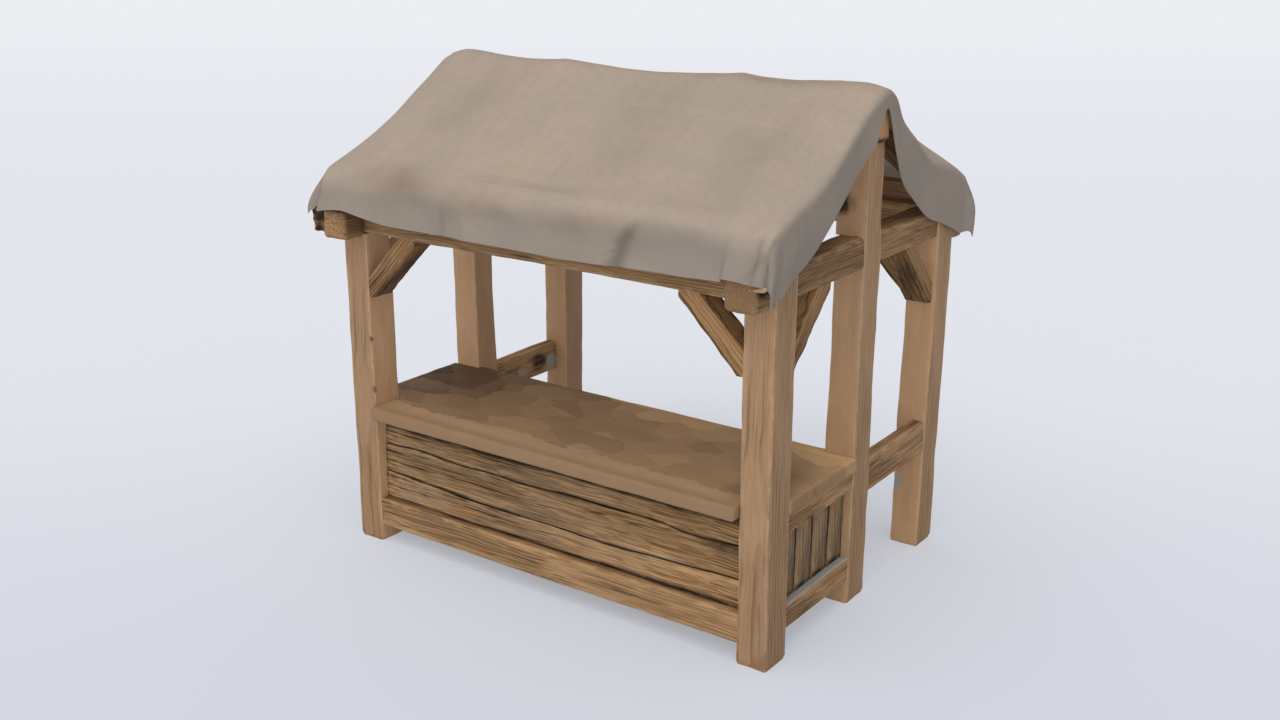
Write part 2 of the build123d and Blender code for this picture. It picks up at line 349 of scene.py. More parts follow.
# %% Floor
SHADOW_KEPT = 0.58
put_down()
bpy.ops.mesh.primitive_plane_add(size=300, location=(0, 0, 0))
floor = new_piece("floor")
r = Recipe(bpy.data.materials.new("pale_floor"))
away = (-0.577, 0.817, 0.0)
along = r.vector("DOT_PRODUCT", r.step("TexCoord", "Object"), away, out="Value")
tone = r.mix(r.ramp(along, -3.0, 3.5), paint(216, 220, 230), paint(229, 232, 239))
tone = r.mix(r.ramp(along, 2.0, 45.0), tone, paint(239, 241, 246))
shader = r.nodes["Principled BSDF"]
r.fill(shader, Base_Color=tone, Roughness=1.0, Specular_IOR_Level=0.0)
# seen by the camera, part of the floor is plain colour, so the shadow on it stays pale
plain = r.times(r.step("LightPath", "Is Camera Ray"), 1 - SHADOW_KEPT)
both = r.step("MixShader", i0=plain, i1=shader.outputs[0], i2=r.step("Emission", Color=tone))
r.fill(r.nodes["Material Output"], Surface=both)
floor.data.materials.append(r.holder)
floor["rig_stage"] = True
print("floor:", floor.dimensions[:])

# %% [markdown]
# ## Oak, as a solid
# Grain is the cut through a log: rings round a heart, fibres along it. So the recipe works on a
# solid pattern in Object coordinates. A Mapping node sets the heart of the log near each timber's
# own middle and turns its length along the timber. Rings wander a little, fade in and out, and the
# fibres between them are the same noise drawn out thirty to fifty times along the wood. The pieces
# carry five attributes that the recipe reads: worn lightens the rubbed edges, the dark one darkens
# the dirty places and also carries painted shade in seams, grooves, undersides and under the
# canvas, bleached greys them, planed calms the grain of a face, and pale lifts or lowers its tone,
# on the posts and the ridge ends as painted light.

# %% Oak recipe
def oak(name, light, mid, dark, ring_gap=0.03, ring_share=0.55, fibre_share=0.6, split_share=0.25,
        blotch_share=0.35, grey_share=0.0, worn_share=0.45, worn_colour=(190, 158, 122),
        relief=0.35, stretch=0.035, ring_floor=0.08):
    light, mid, dark = paint(*light), paint(*mid), paint(*dark)
    r = Recipe(bpy.data.materials.new(name))
    log = r.step("Mapping", vector_type="TEXTURE", Vector=r.step("TexCoord", "Object"))
    log.node.name = "place"
    slow = r.stretched(log, (1.0, 1.0, 0.28))
    drift = r.step("TexNoise", "Color", Vector=slow, Scale=4.0, Detail=2.0)
    drift = r.vector("SUBTRACT", drift, (0.5, 0.5, 0.5))
    moved = r.vector("MULTIPLY_ADD", drift, (0.07, 0.07, 0.0), log)
    # growth rings: distance from the heart, in ring gaps
    from_heart = r.vector("MULTIPLY_ADD", moved, (1, 1, 0), (0.07, 0.16, 0))
    radius = r.vector("LENGTH", from_heart, out="Value")
    turn = r.maths("FRACT", r.maths("DIVIDE", radius, ring_gap))
    presence = r.ramp(r.speckle(slow, 6.5), 0.40, 0.64, ring_floor, 1.0)
    ring = r.times(r.ramp(turn, 0.66, 0.93), r.ramp(turn, 0.94, 1.0, 1.0, 0.0), presence)
    # fibres, coarse and fine, and the darker splits between them
    long_way = r.stretched(moved, (1.0, 1.0, stretch))
    fine = r.times(r.speckle(long_way, 170.0, 2.0, 0.6), 0.4)
    fibre = r.times_plus(r.speckle(long_way, 88.0, 2.0, 0.6), 0.6, fine)
    fibre = r.ramp(fibre, 0.40, 0.60)
    split = r.ramp(r.speckle(long_way, 46.0, 4.0, 0.65), 0.57, 0.63)
    split = r.times(split, r.ramp(r.speckle(slow, 5.0), 0.38, 0.60))
    blotch = r.ramp(r.speckle(slow, 3.6, 4.0, 0.6), 0.42, 0.68)
    colour = r.mix(r.times(fibre, fibre_share), light, mid)
    colour = r.mix(r.times(blotch, blotch_share), colour, dark)
    if grey_share:
        elsewhere = r.vector("ADD", slow, (3.1, 7.7, 1.3))
        grey_tone = r.ramp(r.speckle(elsewhere, 3.0, 4.0, 0.6), 0.50, 0.66, 0.0, grey_share)
        colour = r.mix(grey_tone, colour, paint(152, 133, 108))
    # a planed face shows hardly any grain, only broad patches
    planed = r.read("planed")
    lines = r.times_plus(planed, -0.85, 1.0)
    patch = r.step("TexVoronoi", "Color", Vector=slow, Scale=9.0)
    patched = r.mix(r.times(patch, 0.55), light, mid)
    colour = r.mix(r.times(planed, 0.8), colour, patched)
    # pale says how much lighter than the rest a place is, or darker where it is negative; on the
    # posts and the ridge ends it is painted light
    gain = r.plus(r.read("pale"), 1.0)
    colour = r.step("VectorMath", operation="SCALE", i0=colour, Scale=gain)
    split = r.times(split, split_share, lines)
    ring = r.times(ring, ring_share, lines)
    colour = r.mix(ring, r.mix(split, colour, dark), dark)
    # rubbed edges, then dirt together with painted shade, and bleached places, all with ragged rims
    rubbed = r.ramp(r.speckle(slow, 26.0, 3.0, 0.6), 0.40, 0.62)
    worn = r.times(r.read("worn"), rubbed, worn_share)
    colour = r.mix(worn, colour, paint(*worn_colour))
    ragged = r.ramp(r.speckle(slow, 14.0, 4.0, 0.65), 0.30, 0.70, -0.35, 0.35)
    for label, start, stop, tone in (
        ("dirt_and_shade", 0.1, 1.0, (40, 28, 17)), ("bleached", 0.2, 0.8, (150, 147, 140)),
    ):
        amount = r.read(label)
        amount = r.ramp(r.times_plus(ragged, amount, amount), start, stop)
        colour = r.mix(amount, colour, paint(*tone))
    height = r.times_plus(ring, -1.0, r.times(fibre, -0.5))
    height = r.times_plus(split, -1.5, height)
    rough = r.ramp(fibre, 0.0, 1.0, 0.78, 0.92)
    return r.surface(colour, rough, 0.2, relief, 0.004, height)


def coat(piece, material):
    piece.data.materials.clear()
    piece.data.materials.append(material)


def dress(piece, finish, direction, centre=None):
    """The piece's own copy of a finish, its log laid through the centre along an axis or a way."""
    if centre is None:
        centre = sum((Vector(c) for c in piece.bound_box), Vector()) / 8
    if isinstance(direction, str):
        direction = [axis == direction for axis in "XYZ"]
    own = finish.copy()
    own.name = finish.name + "_" + piece.name
    place = own.node_tree.nodes["place"]
    place.inputs["Location"].default_value = centre
    turn = Vector(direction).normalized().to_track_quat("Z", "Y").to_euler()
    place.inputs["Rotation"].default_value = turn
    coat(piece, own)


# %% Finishes of the timbers
post_oak = oak("post_oak", (164, 132, 101), (142, 112, 82), (96, 68, 42),
               split_share=0.32, fibre_share=0.45, blotch_share=0.2)
beam_oak = oak("beam_oak", (148, 117, 83), (118, 88, 57), (58, 39, 22), ring_gap=0.018,
               ring_share=0.65, fibre_share=0.75, split_share=0.65, relief=0.5)
rail_oak = oak("rail_oak", (168, 134, 97), (128, 97, 64), (66, 44, 24), ring_gap=0.022,
               ring_share=0.8, fibre_share=0.85, split_share=0.85, stretch=0.020,
               worn_share=0.60, worn_colour=(196, 156, 112))
brace_oak = oak("brace_oak", (152, 118, 82), (122, 90, 58), (60, 38, 20), ring_gap=0.022,
                ring_share=0.95, split_share=0.8, relief=0.5, ring_floor=0.6)
board_oak = oak("board_oak", (157, 124, 86), (98, 70, 41), (44, 29, 14), ring_gap=0.016,
                ring_share=0.6, fibre_share=0.85, split_share=0.9, grey_share=0.3,
                stretch=0.018, relief=0.7)
end_oak = oak("end_oak", (158, 130, 96), (96, 74, 48), (36, 26, 16), ring_gap=0.016,
              ring_share=0.6, fibre_share=0.8, split_share=0.9, blotch_share=0.5,
              grey_share=0.15, relief=0.7)
roof_oak = oak("roof_oak", (132, 101, 70), (104, 76, 50), (52, 35, 20), split_share=0.6)
print("finishes:", [m.name for m in bpy.data.materials if m.name.endswith("oak")])

# %% [markdown]
# ## Wear in the shape itself
# A hewn timber is never straight. Three displacements follow each other: a slow bow that moves the
# whole section aside, soft hollows left by the axe, and small nicks. The noise is read through an
# empty that is stretched along the timber, so the hollows are long like the strokes that made them.

# %% Weathering
def cloud(name, size, depth):
    texture = bpy.data.textures.new(name, "CLOUDS")
    texture.noise_scale, texture.noise_depth = size, depth
    return texture


BOW, HEWN, NICK = cloud("bow", 0.55, 1), cloud("hewn", 0.085, 1), cloud("nick", 0.028, 2)


def weather(piece, along, bow=0.016, hewn=0.011, nick=0.003, stretch=3.0):
    """Bows, hollows and nicks a timber whose length runs along one axis."""
    put_down()
    bpy.ops.object.empty_add(type="ARROWS", location=(0, 0, 0))
    gauge = bpy.context.object
    gauge.scale[AXIS[along]] = stretch
    bpy.context.view_layer.update()
    pushes = [(BOW, bow, axis) for axis in "XYZ" if axis != along and bow]
    for texture, strength, way in (*pushes, (HEWN, hewn, "NORMAL"), (NICK, nick, "NORMAL")):
        modify(piece, "DISPLACE", texture=texture, strength=strength, mid_level=0.5,
               direction=way, texture_coords="OBJECT", texture_coords_object=gauge)
    apply_all(piece)
    bpy.data.objects.remove(gauge)


def round_edges(piece, radius, segments=3, angle=30):
    modify(piece, "BEVEL", width=radius, segments=segments, limit_method="ANGLE",
           angle_limit=math.radians(angle))
    apply_all(piece)


def write(piece, label, values, domain="POINT"):
    layers = piece.data.attributes
    layer = layers.get(label) or layers.new(label, "FLOAT", domain)
    layer.data.foreach_set("value", values)


def mark_wear(piece, low, high, along, reach=0.035):
    """Writes worn: 1 on the long edges of the nominal box, 0 a little way in from them."""
    across = [AXIS[a] for a in "XYZ" if a != along]
    insets = [max(min(co[a] - low[a], high[a] - co[a]) for a in across) for co in points(piece)]
    write(piece, "worn", [clamp(1 - inset / reach) for inset in insets])


def add_mark(piece, rule, label="dirt_and_shade"):
    """Adds to stain, bleached or pale: rule gives 0 to 1 at a point, and the larger value stays."""
    before = [0.0] * len(piece.data.vertices)
    layer = piece.data.attributes.get(label)
    if layer:
        layer.data.foreach_get("value", before)
    write(piece, label, [max(a, min(1.0, rule(co))) for a, co in zip(before, points(piece))])


def spot(centre, radii, strength):
    """A rule that writes a mark inside an ellipsoid, fading outwards; it lays dirt and also painted
    shade.
    """
    def rule(co):
        gap = Vector([(co[i] - centre[i]) / radii[i] for i in range(3)]).length
        return strength * clamp(1.6 * (1 - gap))
    return rule


def mark_faces(piece, label, *faces):
    """Writes planed or pale on the faces that look one way, from pairs of way and amount."""
    values = []
    for face in piece.data.polygons:
        amounts = [amount for way, amount in faces if face.normal.dot(Vector(way)) > 0.6]
        values.append(amounts[0] if amounts else 0.0)
    write(piece, label, values, "FACE")


def finish_mesh(piece, angle=45):
    """Smooth shading with true edges kept."""
    pick_up(piece)
    bpy.ops.object.shade_smooth_by_angle(angle=math.radians(angle), keep_sharp_edges=False)


def timber(name, low, high, along, radius, **wear):
    """A whole timber from its box: split, rounded, weathered and marked."""
    piece = squared_block(name, low, high)
    split_edges(piece, **{axis: 0.028 if axis == along else 0.03 for axis in "XYZ"})
    round_edges(piece, radius)
    weather(piece, along, **wear)
    mark_wear(piece, low, high, along)
    return piece


def hand_over(piece, node=None):
    """The piece rides on the stall and stands for its CAD node, if it has one."""
    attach(piece, "root")
    if node:
        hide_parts(node)
    print(piece.name, sum(len(face.vertices) - 2 for face in piece.data.polygons), "triangles")


def complete(piece, finish, direction, node=None, centre=None):
    finish_mesh(piece)
    dress(piece, finish, direction, centre)
    hand_over(piece, node)


# %% [markdown]
# ## The posts
# Six posts stand on the ground. The four at the corners stop under the canvas with a forked head
# that holds the tie beam, and the two in the middle run on up to carry the ridge beam. One shaft of
# each kind is modelled, with its bevelled foot, and copied; every copy is then hewn on its own.

# %% Shafts and copies
def shaft(name, low, high):
    piece = squared_block(name, low, high)
    split_edges(piece, Z=0.028, X=0.03, Y=0.03)
    mesh = piece.data
    sides = [(0, low[0]), (0, high[0]), (1, low[1]), (1, high[1])]

    def round_the_foot(edge):
        ends = [mesh.vertices[i].co for i in edge.vertices]
        level = all(co.z < 1e-4 for co in ends)
        return level and any(all(abs(co[a] - v) < 1e-4 for co in ends) for a, v in sides)

    choose(piece, "EDGE", round_the_foot)
    bpy.ops.mesh.bevel(offset=0.022, segments=2, profile=0.5)
    put_down()
    return piece


def copy_to(piece, name, offset):
    """A copy with its own mesh, moved by offset, its place then put in the mesh."""
    pick_up(piece)
    bpy.ops.object.duplicate(linked=False)
    other = new_piece(name)
    bpy.ops.transform.translate(value=offset)
    settle_place()
    return other


def planed_and_pale(post, row, right):
    """The tone of a post's faces: planed on the side of the bay. Pale is painted light: faces under
    the roof and towards the bay mostly lifted, a few outer faces lowered.
    """
    sign = 1 if right else -1
    inner, outer, front = (-sign, 0, 0), (sign, 0, 0), (0, -1, 0)
    planed = [(inner, 1.0)] if row == "front" else [(front, 1.0), (inner, 1.0)]
    mark_faces(post, "planed", *planed)
    mark_faces(post, "pale", *{
        "front": [(inner, 0.60), (outer, -0.06), (front, 0.0 if right else -0.06)],
        "middle": [(front, 0.13 if right else 0.28), (inner, 0.18)],
        "back": [(front, 0.26 if right else 0.03), (inner, -0.03)],
    }[row])


# %% Six posts
POST_ROUND, CHEEK, SPARE = 0.017, 0.040, 0.05
corner_low, corner_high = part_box("post_front_right")
middle_low, middle_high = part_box("post_middle_right")
tie_low, tie_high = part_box("tie_beam_right")
corner = shaft("corner_pattern", corner_low, corner_high)
middle = shaft("middle_pattern", middle_low, middle_high)
for row, pattern in (("front", corner), ("back", corner), ("middle", middle)):
    for side, sign in SIDES:
        node = f"post_{row}_{side}"
        low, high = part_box(node)
        first = middle_low if row == "middle" else corner_low
        post = copy_to(pattern, "hewn_" + node, low - first)
        round_edges(post, POST_ROUND)
        weather(post, "Z")
        for co in points(post):
            if co.z < 0.010:
                co.z = 0.0      # the foot is pressed flat on the ground again
        # the head is forked at a corner, and halved where it runs on up to the ridge
        inner, outer = sorted((low.x, high.x), key=abs)
        fork_end, fork_top = outer - sign * CHEEK, high.z + SPARE
        if row == "middle":
            fork_end, fork_top = (inner + outer) / 2, tie_high.z
        cut_away(post, (inner - sign * SPARE, low.y - SPARE, tie_low.z),
                 (fork_end, high.y + SPARE, fork_top))
        mark_wear(post, low, high, "Z")
        if row == "middle":
            # hewn thinner towards the ridge, on the face away from the counter
            for co in points(post):
                above = smooth(co.z, tie_high.z - 0.02, tie_high.z + 0.06)
                co.y -= (0.12 * smooth(co.z, 0.5, 1.5) + 0.08 * above) * (co.y - low.y)
            # painted shade in two patches on the front face of the post, above the tie
            shade_z = tie_high.z + 0.18
            add_mark(post, spot((low.x, low.y, shade_z), (0.16, 0.10, 0.10), 0.75))
            add_mark(post, spot((low.x, low.y, shade_z + 0.34), (0.30, 0.10, 0.12), 0.65))
        if node == "post_front_right":
            # its foot stands a little further out than its head
            for co in points(post):
                co.x += 0.004 + 0.012 * (1 - smooth(co.z, 0.0, 2.0))
        if node == "post_front_left":
            # bruises down the edge beside the counter, at the height of a hand
            arris = Vector((high.x, low.y))
            add_mark(post, lambda co: 0.7 * smooth(noise.noise(co * 16), 0.05, 0.25)
                 * smooth(co.z, 0.85, 1.0) * (1 - smooth(co.z, 1.35, 1.5))
                 * (1 - smooth((co.xy - arris).length, 0.01, 0.04)))
        if node == "post_back_right":
            add_mark(post, spot((1.34, low.y, 0.41), (0.045, 0.05, 0.09), 0.9), "bleached")
        planed_and_pale(post, row, sign > 0)
        complete(post, post_oak, "Z", node, (low + high) / 2)
for pattern in (corner, middle):
    bpy.data.objects.remove(pattern)

# %% [markdown]
# ## Tie beams, plates and rails
# The ties lie in the forks of the posts and run out past them front and back, where their ends
# show as rounded blocks under the canvas. The plates and rails are tenoned into the posts, so each
# is made a little longer than what shows.

# %% Ties
BURIED, TENON = 0.022, 0.045
STALL_END, OUTSIDE = 1.5, 1.6
for side, sign in SIDES:
    node = "tie_beam_" + side
    low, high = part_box(node)
    tie = timber("hewn_" + node, low, high, "Y", 0.026, bow=0.012, hewn=0.016, nick=0.004)
    for row in ("front", "back", "middle"):
        post_low, post_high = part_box(f"post_{row}_{side}")
        start = sign * (STALL_END - CHEEK)
        if row == "middle":
            start = (post_low.x + post_high.x) / 2
        cut_away(tie, (start, post_low.y, low.z - SPARE),
                 (sign * OUTSIDE, post_high.y, high.z + SPARE))
    # the ends past the posts swell a little inwards, and two of them have sunk
    for co in points(tie):
        past = smooth(abs(co.y), 1.06, 1.10)
        if sign * co.x < 1.41:
            co.x -= sign * 0.020 * past
        if sign < 0 and co.y < 0:
            co.z -= 0.015 * past
        if sign > 0 and co.y > 0:
            co.z -= 0.055 * smooth(co.y, 1.06, 1.16)
    # on the right, a painted shadow: a black hole under the canvas at the front end of the tie
    if sign > 0:
        add_mark(tie, spot((1.49, -1.16, 2.125), (0.05, 0.08, 0.050), 1.6))
    mark_faces(tie, "planed", ((0, -1, 0), 0.8 if sign > 0 else 0.0))
    mark_faces(tie, "pale", ((0, -1, 0), -0.15 if sign > 0 else 0.22))
    complete(tie, beam_oak, "Y", node, (low + high) / 2)

# %% Plates and rails
RAILS = [(f"plate_{row}", "X", 0.018, beam_oak, "beam_timber") for row, facing in ROWS]
RAILS += [(f"counter_{row}_rail", "X", 0.014, rail_oak, "frame_timber") for row, facing in ROWS]
for side, sign in SIDES:
    for name, radius in (("counter_top", 0.010), ("counter_low", 0.012), ("side", 0.014)):
        RAILS.append((f"{name}_rail_{side}", "Y", radius, rail_oak, "frame_timber"))
for node, along, radius, finish, slot in RAILS:
    low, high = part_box(node)
    low[AXIS[along]] += TENON - BURIED
    high[AXIS[along]] -= TENON - BURIED
    rail = timber("hewn_" + node, low, high, along, radius, bow=0.010, hewn=0.008, nick=0.003)
    if node == "side_rail_left":
        add_mark(rail, spot((high.x, 0.66, high.z - 0.10), (0.08, 0.13, 0.10), 0.95))
        add_mark(rail, spot((high.x, 0.80, high.z - 0.13), (0.08, 0.09, 0.09), 0.9), "bleached")
        add_mark(rail, spot((high.x, 0.48, high.z - 0.14), (0.08, 0.10, 0.06), 0.6), "bleached")
    if node == "counter_front_rail":
        # painted shade behind the upper front edge, against the boards, most on the right
        add_mark(rail, lambda co: 0.95 * smooth(co.z, high.z - 0.020, high.z - 0.008)
             * smooth(co.y, low.y + 0.040 - 0.018 * smooth(co.x, -0.2, 0.9), low.y + 0.060)
             * smooth(co.x, -1.0, -0.7))
    if node == "counter_low_rail_right":
        add_mark(rail, lambda co: 0.9 * smooth(co.z, high.z - 0.012, high.z - 0.004), "bleached")
    complete(rail, finish, along, node)

# %% [markdown]
# ## Braces
# A brace is a short straight timber laid at forty-five degrees and sawn to fit the post and the
# beam, with its two toes blunted. It is modelled flat, turned, and cut with four bisects.

# %% Braces
BRACE_LEG, BRACE_DEPTH, BRACE_WIDTH, BRACE_TOE = 0.430, 0.118, 0.150, 0.038


def brace(name, corner, run):
    """corner is where post and beam meet; run is the unit direction along the beam."""
    down = Vector((0, 0, -1))
    half = Vector((BRACE_WIDTH, BRACE_DEPTH, BRACE_LEG * 1.6)) / 2
    piece = squared_block(name, -half, half)
    split_edges(piece, Z=0.022, X=0.025, Y=0.025)
    round_edges(piece, 0.010)
    along, outward = (run - down).normalized(), (-run - down).normalized()
    turn = Matrix((outward.cross(along), outward, along)).transposed()
    middle = corner + (run + down) * (BRACE_LEG - BRACE_DEPTH / math.sqrt(2)) / 2
    piece.matrix_world = Matrix.Translation(middle) @ turn.to_4x4()
    pick_up(piece)
    settle_place()
    weather(piece, "Z", bow=0.006, hewn=0.012, nick=0.003, stretch=1.5)
    blunt = BRACE_LEG - BRACE_TOE
    for way, reach in ((-run, BURIED), (-down, BURIED), (run, blunt), (down, blunt)):
        bisect(piece, corner + way * reach, way, saw_off=True)
    # painted shade along the underside of the brace, the face turned away from the corner
    add_mark(piece, lambda co: 0.5 * smooth((corner - co).dot(outward), 0.265, 0.290))
    return piece, along


for side, sign in SIDES:
    for row, facing in ROWS:
        low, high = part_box(f"post_{row}_{side}")
        plate_low, plate_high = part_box("plate_" + row)
        inner_x, inner_y = min(low.x, high.x, key=abs), min(low.y, high.y, key=abs)
        under_plate = Vector((inner_x, (plate_low.y + plate_high.y) / 2, plate_low.z))
        under_tie = Vector(((low.x + high.x) / 2, inner_y, tie_low.z))
        for beam, corner, run in (
            ("plate", under_plate, (-sign, 0, 0)), ("tie", under_tie, (0, -facing, 0)),
        ):
            node = f"brace_{row}_{beam}_{side}"
            piece, along = brace("hewn_" + node, corner, Vector(run))
            if node == "brace_front_plate_right":
                mark_faces(piece, "pale", ((0, -1, 0), 0.28))
            complete(piece, brace_oak, along, node)

# %% [markdown]
# ## The counter top
# One thick slab, notched round the posts. It begins as a flat plane, is cut along the lines of the
# notches, loses its corners, and is thickened downwards.

# %% Counter top
top_low, top_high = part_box("counter_top")
notch_x, notch_front, notch_back = corner_low.x, corner_high.y, middle_low.y
put_down()
bpy.ops.mesh.primitive_plane_add(size=1)
slab = new_piece("worn_counter_top")
slab.scale = (top_high.x - top_low.x, top_high.y - top_low.y, 1)
slab.location = (0, (top_low.y + top_high.y) / 2, top_high.z)
settle_place()
for x in (notch_x, -notch_x):
    bisect(slab, (x, 0, 0), (1, 0, 0))
for y in (notch_front, notch_back):
    bisect(slab, (0, y, 0), (0, 1, 0))
choose(slab, "FACE", lambda face: abs(face.center.x) > notch_x
       and not notch_front < face.center.y < notch_back)
bpy.ops.mesh.delete(type="FACE")
put_down()
modify(slab, "SOLIDIFY", thickness=top_high.z - top_low.z, offset=-1.0)
apply_all(slab)
split_edges(slab, X=0.035, Y=0.035, Z=0.03)
round_edges(slab, 0.014, angle=50)
weather(slab, "X", bow=0, hewn=0.007, nick=0.0025)
finish_mesh(slab)
hand_over(slab, "counter_top")

# %% [markdown]
# ## Boards with waney edges
# The front is closed by three long boards. Their seams follow the wavy edge of the tree, so each
# board is split along its length and its edges are moved on to the seam lines. The boards at the
# two ends of the counter stand upright, four to each end.

# %% Long boards
LOWER_SEAM, UPPER_SEAM = 0.255, 0.655   # shares of the height of the boarding
BOARD_GAP, BOARD_THICKNESS, BOARD_STEP = 0.003, 0.034, 0.005
BOARD_END = 1.317
rail_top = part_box("counter_front_rail")[1].z


def seam(share, x, bottom, top, turn):
    """The height of a seam and how wide it stands open. The upper one wanders a little; the lower
    one sags in the middle like a hull plank; each has a long wedge where its boards have shrunk."""
    height, gap = bottom + share * (top - bottom), BOARD_GAP
    if share == LOWER_SEAM:
        height += 0.030 * ((x - 0.1) / 1.25) ** 2 + 0.004 * math.sin(6.0 * x + turn)
        return height, gap + 0.004 * bell(x, -0.70, 0.28) + 0.003 * bell(x, 0.60, 0.20)
    height += 0.007 * math.sin(4.2 * x + turn) + 0.005 * math.sin(11.0 * x + 2.3 * turn)
    return height, gap + 0.003 * bell(x, 0.28, 0.20) + 0.004 * smooth(x, 1.0, 1.3)


def board_edges(number, x, bottom, top, turns):
    """The heights of a board's lower and upper edge; number counts up from the ground."""
    lines = [(bottom, 0.0), seam(LOWER_SEAM, x, bottom, top, turns[0]),
             seam(UPPER_SEAM, x, bottom, top, turns[1]), (top, 0.0)]
    (lower, gap_below), (upper, gap_above) = lines[number:number + 2]
    return lower + gap_below / 2, upper - gap_above / 2


def long_board(name, low, high, number, edges_at, outer):
    piece = squared_block(name, low, high)
    split_edges(piece, X=0.03, Z=0.025)
    for co in points(piece):
        lower, upper = edges_at(co.x)
        co.z = lower + (co.z - low[2]) / (high[2] - low[2]) * (upper - lower)
    round_edges(piece, 0.006, segments=2)
    weather(piece, "X", bow=0, hewn=0.009, nick=0.003)
    mark_wear(piece, low, high, "X", reach=0.03)

    def seam_shade(co):
        """Painted shade: black in and just above the seams, by the posts, under the lip and on the
        inner face.
        """
        lower, upper = edges_at(co.x)
        uneven = 0.70 + 0.6 * noise.noise(co * 5.0)
        wedge = 0.013
        if number == 1:
            uneven = 0.60 + 0.4 * bell(co.x, -0.70, 0.35)
            wedge += 0.014 * bell(co.x, -0.70, 0.28)
        if number == 0:
            # painted shade above the rail: strong at the left post and again to the right
            lower = rail_top
            uneven = 0.70 + 0.30 * max(smooth(co.x, -0.7, -0.2), 1 - smooth(co.x, -1.3, -1.1))
            wedge = 0.024 + 0.022 * smooth(co.x, -0.2, 1.2)
        dark = (1 - smooth(co.z - lower, 0.003, wedge)) * uneven
        dark = max(dark, 1 - smooth(upper - co.z, 0.0, 0.003))
        # painted shade under the board above, broad left of the middle and at the right end
        if number == 1:
            right = smooth(co.x, 0.85, 1.20)
            shaded = 0.62 * max(bell(co.x, 0.05, 0.28), 1.15 * right)
            dark = max(dark, shaded * (1 - smooth(upper - co.z, 0.004, 0.065 + 0.10 * right)))
        if number == 2:
            # the shadow line under the lip of the counter
            dark = max(dark, 0.95 * (1 - smooth(top_low.z - co.z, 0.068, 0.085)))
        ends = 1 - smooth(BOARD_END - abs(co.x), 0.0, 0.035)
        return max(dark, 0.6 * ends, 0.8 * smooth(abs(co.y - outer), 0.028, 0.034))

    def pale_ends(co):
        """The lower half of the middle board has bleached at both ends."""
        ends = max(bell(co.x, 0.82, 0.34), 0.6 * bell(co.x, -0.55, 0.30))
        return 0.40 * ends * (1 - smooth(co.z, 0.44, 0.53))

    add_mark(piece, seam_shade)
    if number == 0:
        add_mark(piece, lambda co: 0.14 + 0.34 * bell(co.x, 0.75, 0.45)
             + 0.20 * bell(co.x, -0.95, 0.30), "pale")
        add_mark(piece, lambda co: 0.30 * max(bell(co.x, 0.70, 0.35), bell(co.x, -0.95, 0.25)),
             "bleached")
    if number == 1:
        for label in ("pale", "bleached"):
            add_mark(piece, pale_ends, label)
    return piece


for (row, facing), turns in zip(ROWS, ((2.0, 0.0), (0.7, 2.6))):
    node = f"counter_{row}_boards"
    low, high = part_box(node)
    bottom, top = low.z, high.z
    levels = [bottom + share * (top - bottom) for share in (0, LOWER_SEAM, UPPER_SEAM, 1)]
    outer = low.y if facing < 0 else high.y
    for number in range(3):
        face = outer - facing * BOARD_STEP * number
        y_pair = sorted((face, face - facing * BOARD_THICKNESS))
        board = long_board(
            f"board_{row}_{number + 1}", (low.x - 0.01, y_pair[0], levels[number]),
            (high.x + 0.01, y_pair[1], levels[number + 1]), number,
            lambda x: board_edges(number, x, bottom, top, turns), outer,
        )
        complete(board, board_oak, "X", node if number == 0 else None)

# %% End boards
END_COUNT, END_GAP = 4, 0.006
for side, sign in SIDES:
    node = "counter_end_boards_" + side
    low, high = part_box(node)
    pitch = (high.y - low.y) / END_COUNT
    for number in range(END_COUNT):
        start, stop = low.y + number * pitch, low.y + (number + 1) * pitch - END_GAP
        board = timber(
            f"end_board_{side}_{number + 1}", (low.x, start, low.z - 0.01),
            (high.x, stop, high.z + 0.01), "Z", 0.006, bow=0.003, hewn=0.004, nick=0.003,
        )

        def groove_shade(co):
            """Painted shade in the grooves between the boards and along the frame round them."""
            groove = min(co.y - start, stop - co.y)
            frame_gap = min(co.y - low.y, high.y - co.y, co.z - low.z)
            return max(1 - smooth(groove, 0.001, 0.012),
                       0.85 * (1 - smooth(frame_gap, 0.005, 0.045)))

        add_mark(board, groove_shade)
        complete(board, end_oak, "Z", node if number == 0 else None)

# %% [markdown]
# ## Roof timbers
# The two ends of the ridge beam show outside the canvas, so it is hewn like the rest, and its sawn
# ends are pale, as pale end grain and as painted light from above. Rafters and eave rails are
# hidden by the cloth. They keep their CAD shape and only get a finish.

# %% Roof timbers
RAFTER_FALL = -0.5295       # of a rafter, for each metre outwards
low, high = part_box("ridge_beam")
ridge = timber("hewn_ridge_beam", (-1.510, low.y, low.z), (1.530, high.y, high.z), "X", 0.020,
               bow=0.006, hewn=0.012, nick=0.003)
# the lower edge of each sawn end is darkened; the ends are lifted paler, the right one most, as
# pale end grain and painted light
add_mark(ridge, lambda co: 0.8 * smooth(abs(co.x), 1.490, 1.502) * (1 - smooth(co.z, 2.700, 2.730)))
mark_faces(ridge, "planed", ((1, 0, 0), 1.0), ((-1, 0, 0), 1.0))
mark_faces(ridge, "pale", ((1, 0, 0), 0.90), ((-1, 0, 0), 0.30))
complete(ridge, roof_oak, "X", "ridge_beam")
for name, part in frame["nodes"].items():
    if name.startswith("eave_rail_"):
        dress(part, roof_oak, "X")
    if name.startswith("rafter_"):
        facing = -1 if "front" in name else 1
        dress(part, roof_oak, (0, facing, RAFTER_FALL))

# %% [markdown]
# ## Two broken bits
# A half-rotted wedge of wood is stuck between the left tie end and the canvas, and a pale splinter
# has torn up from the right one. Both are blocks, split finely and pushed about by strong noise.

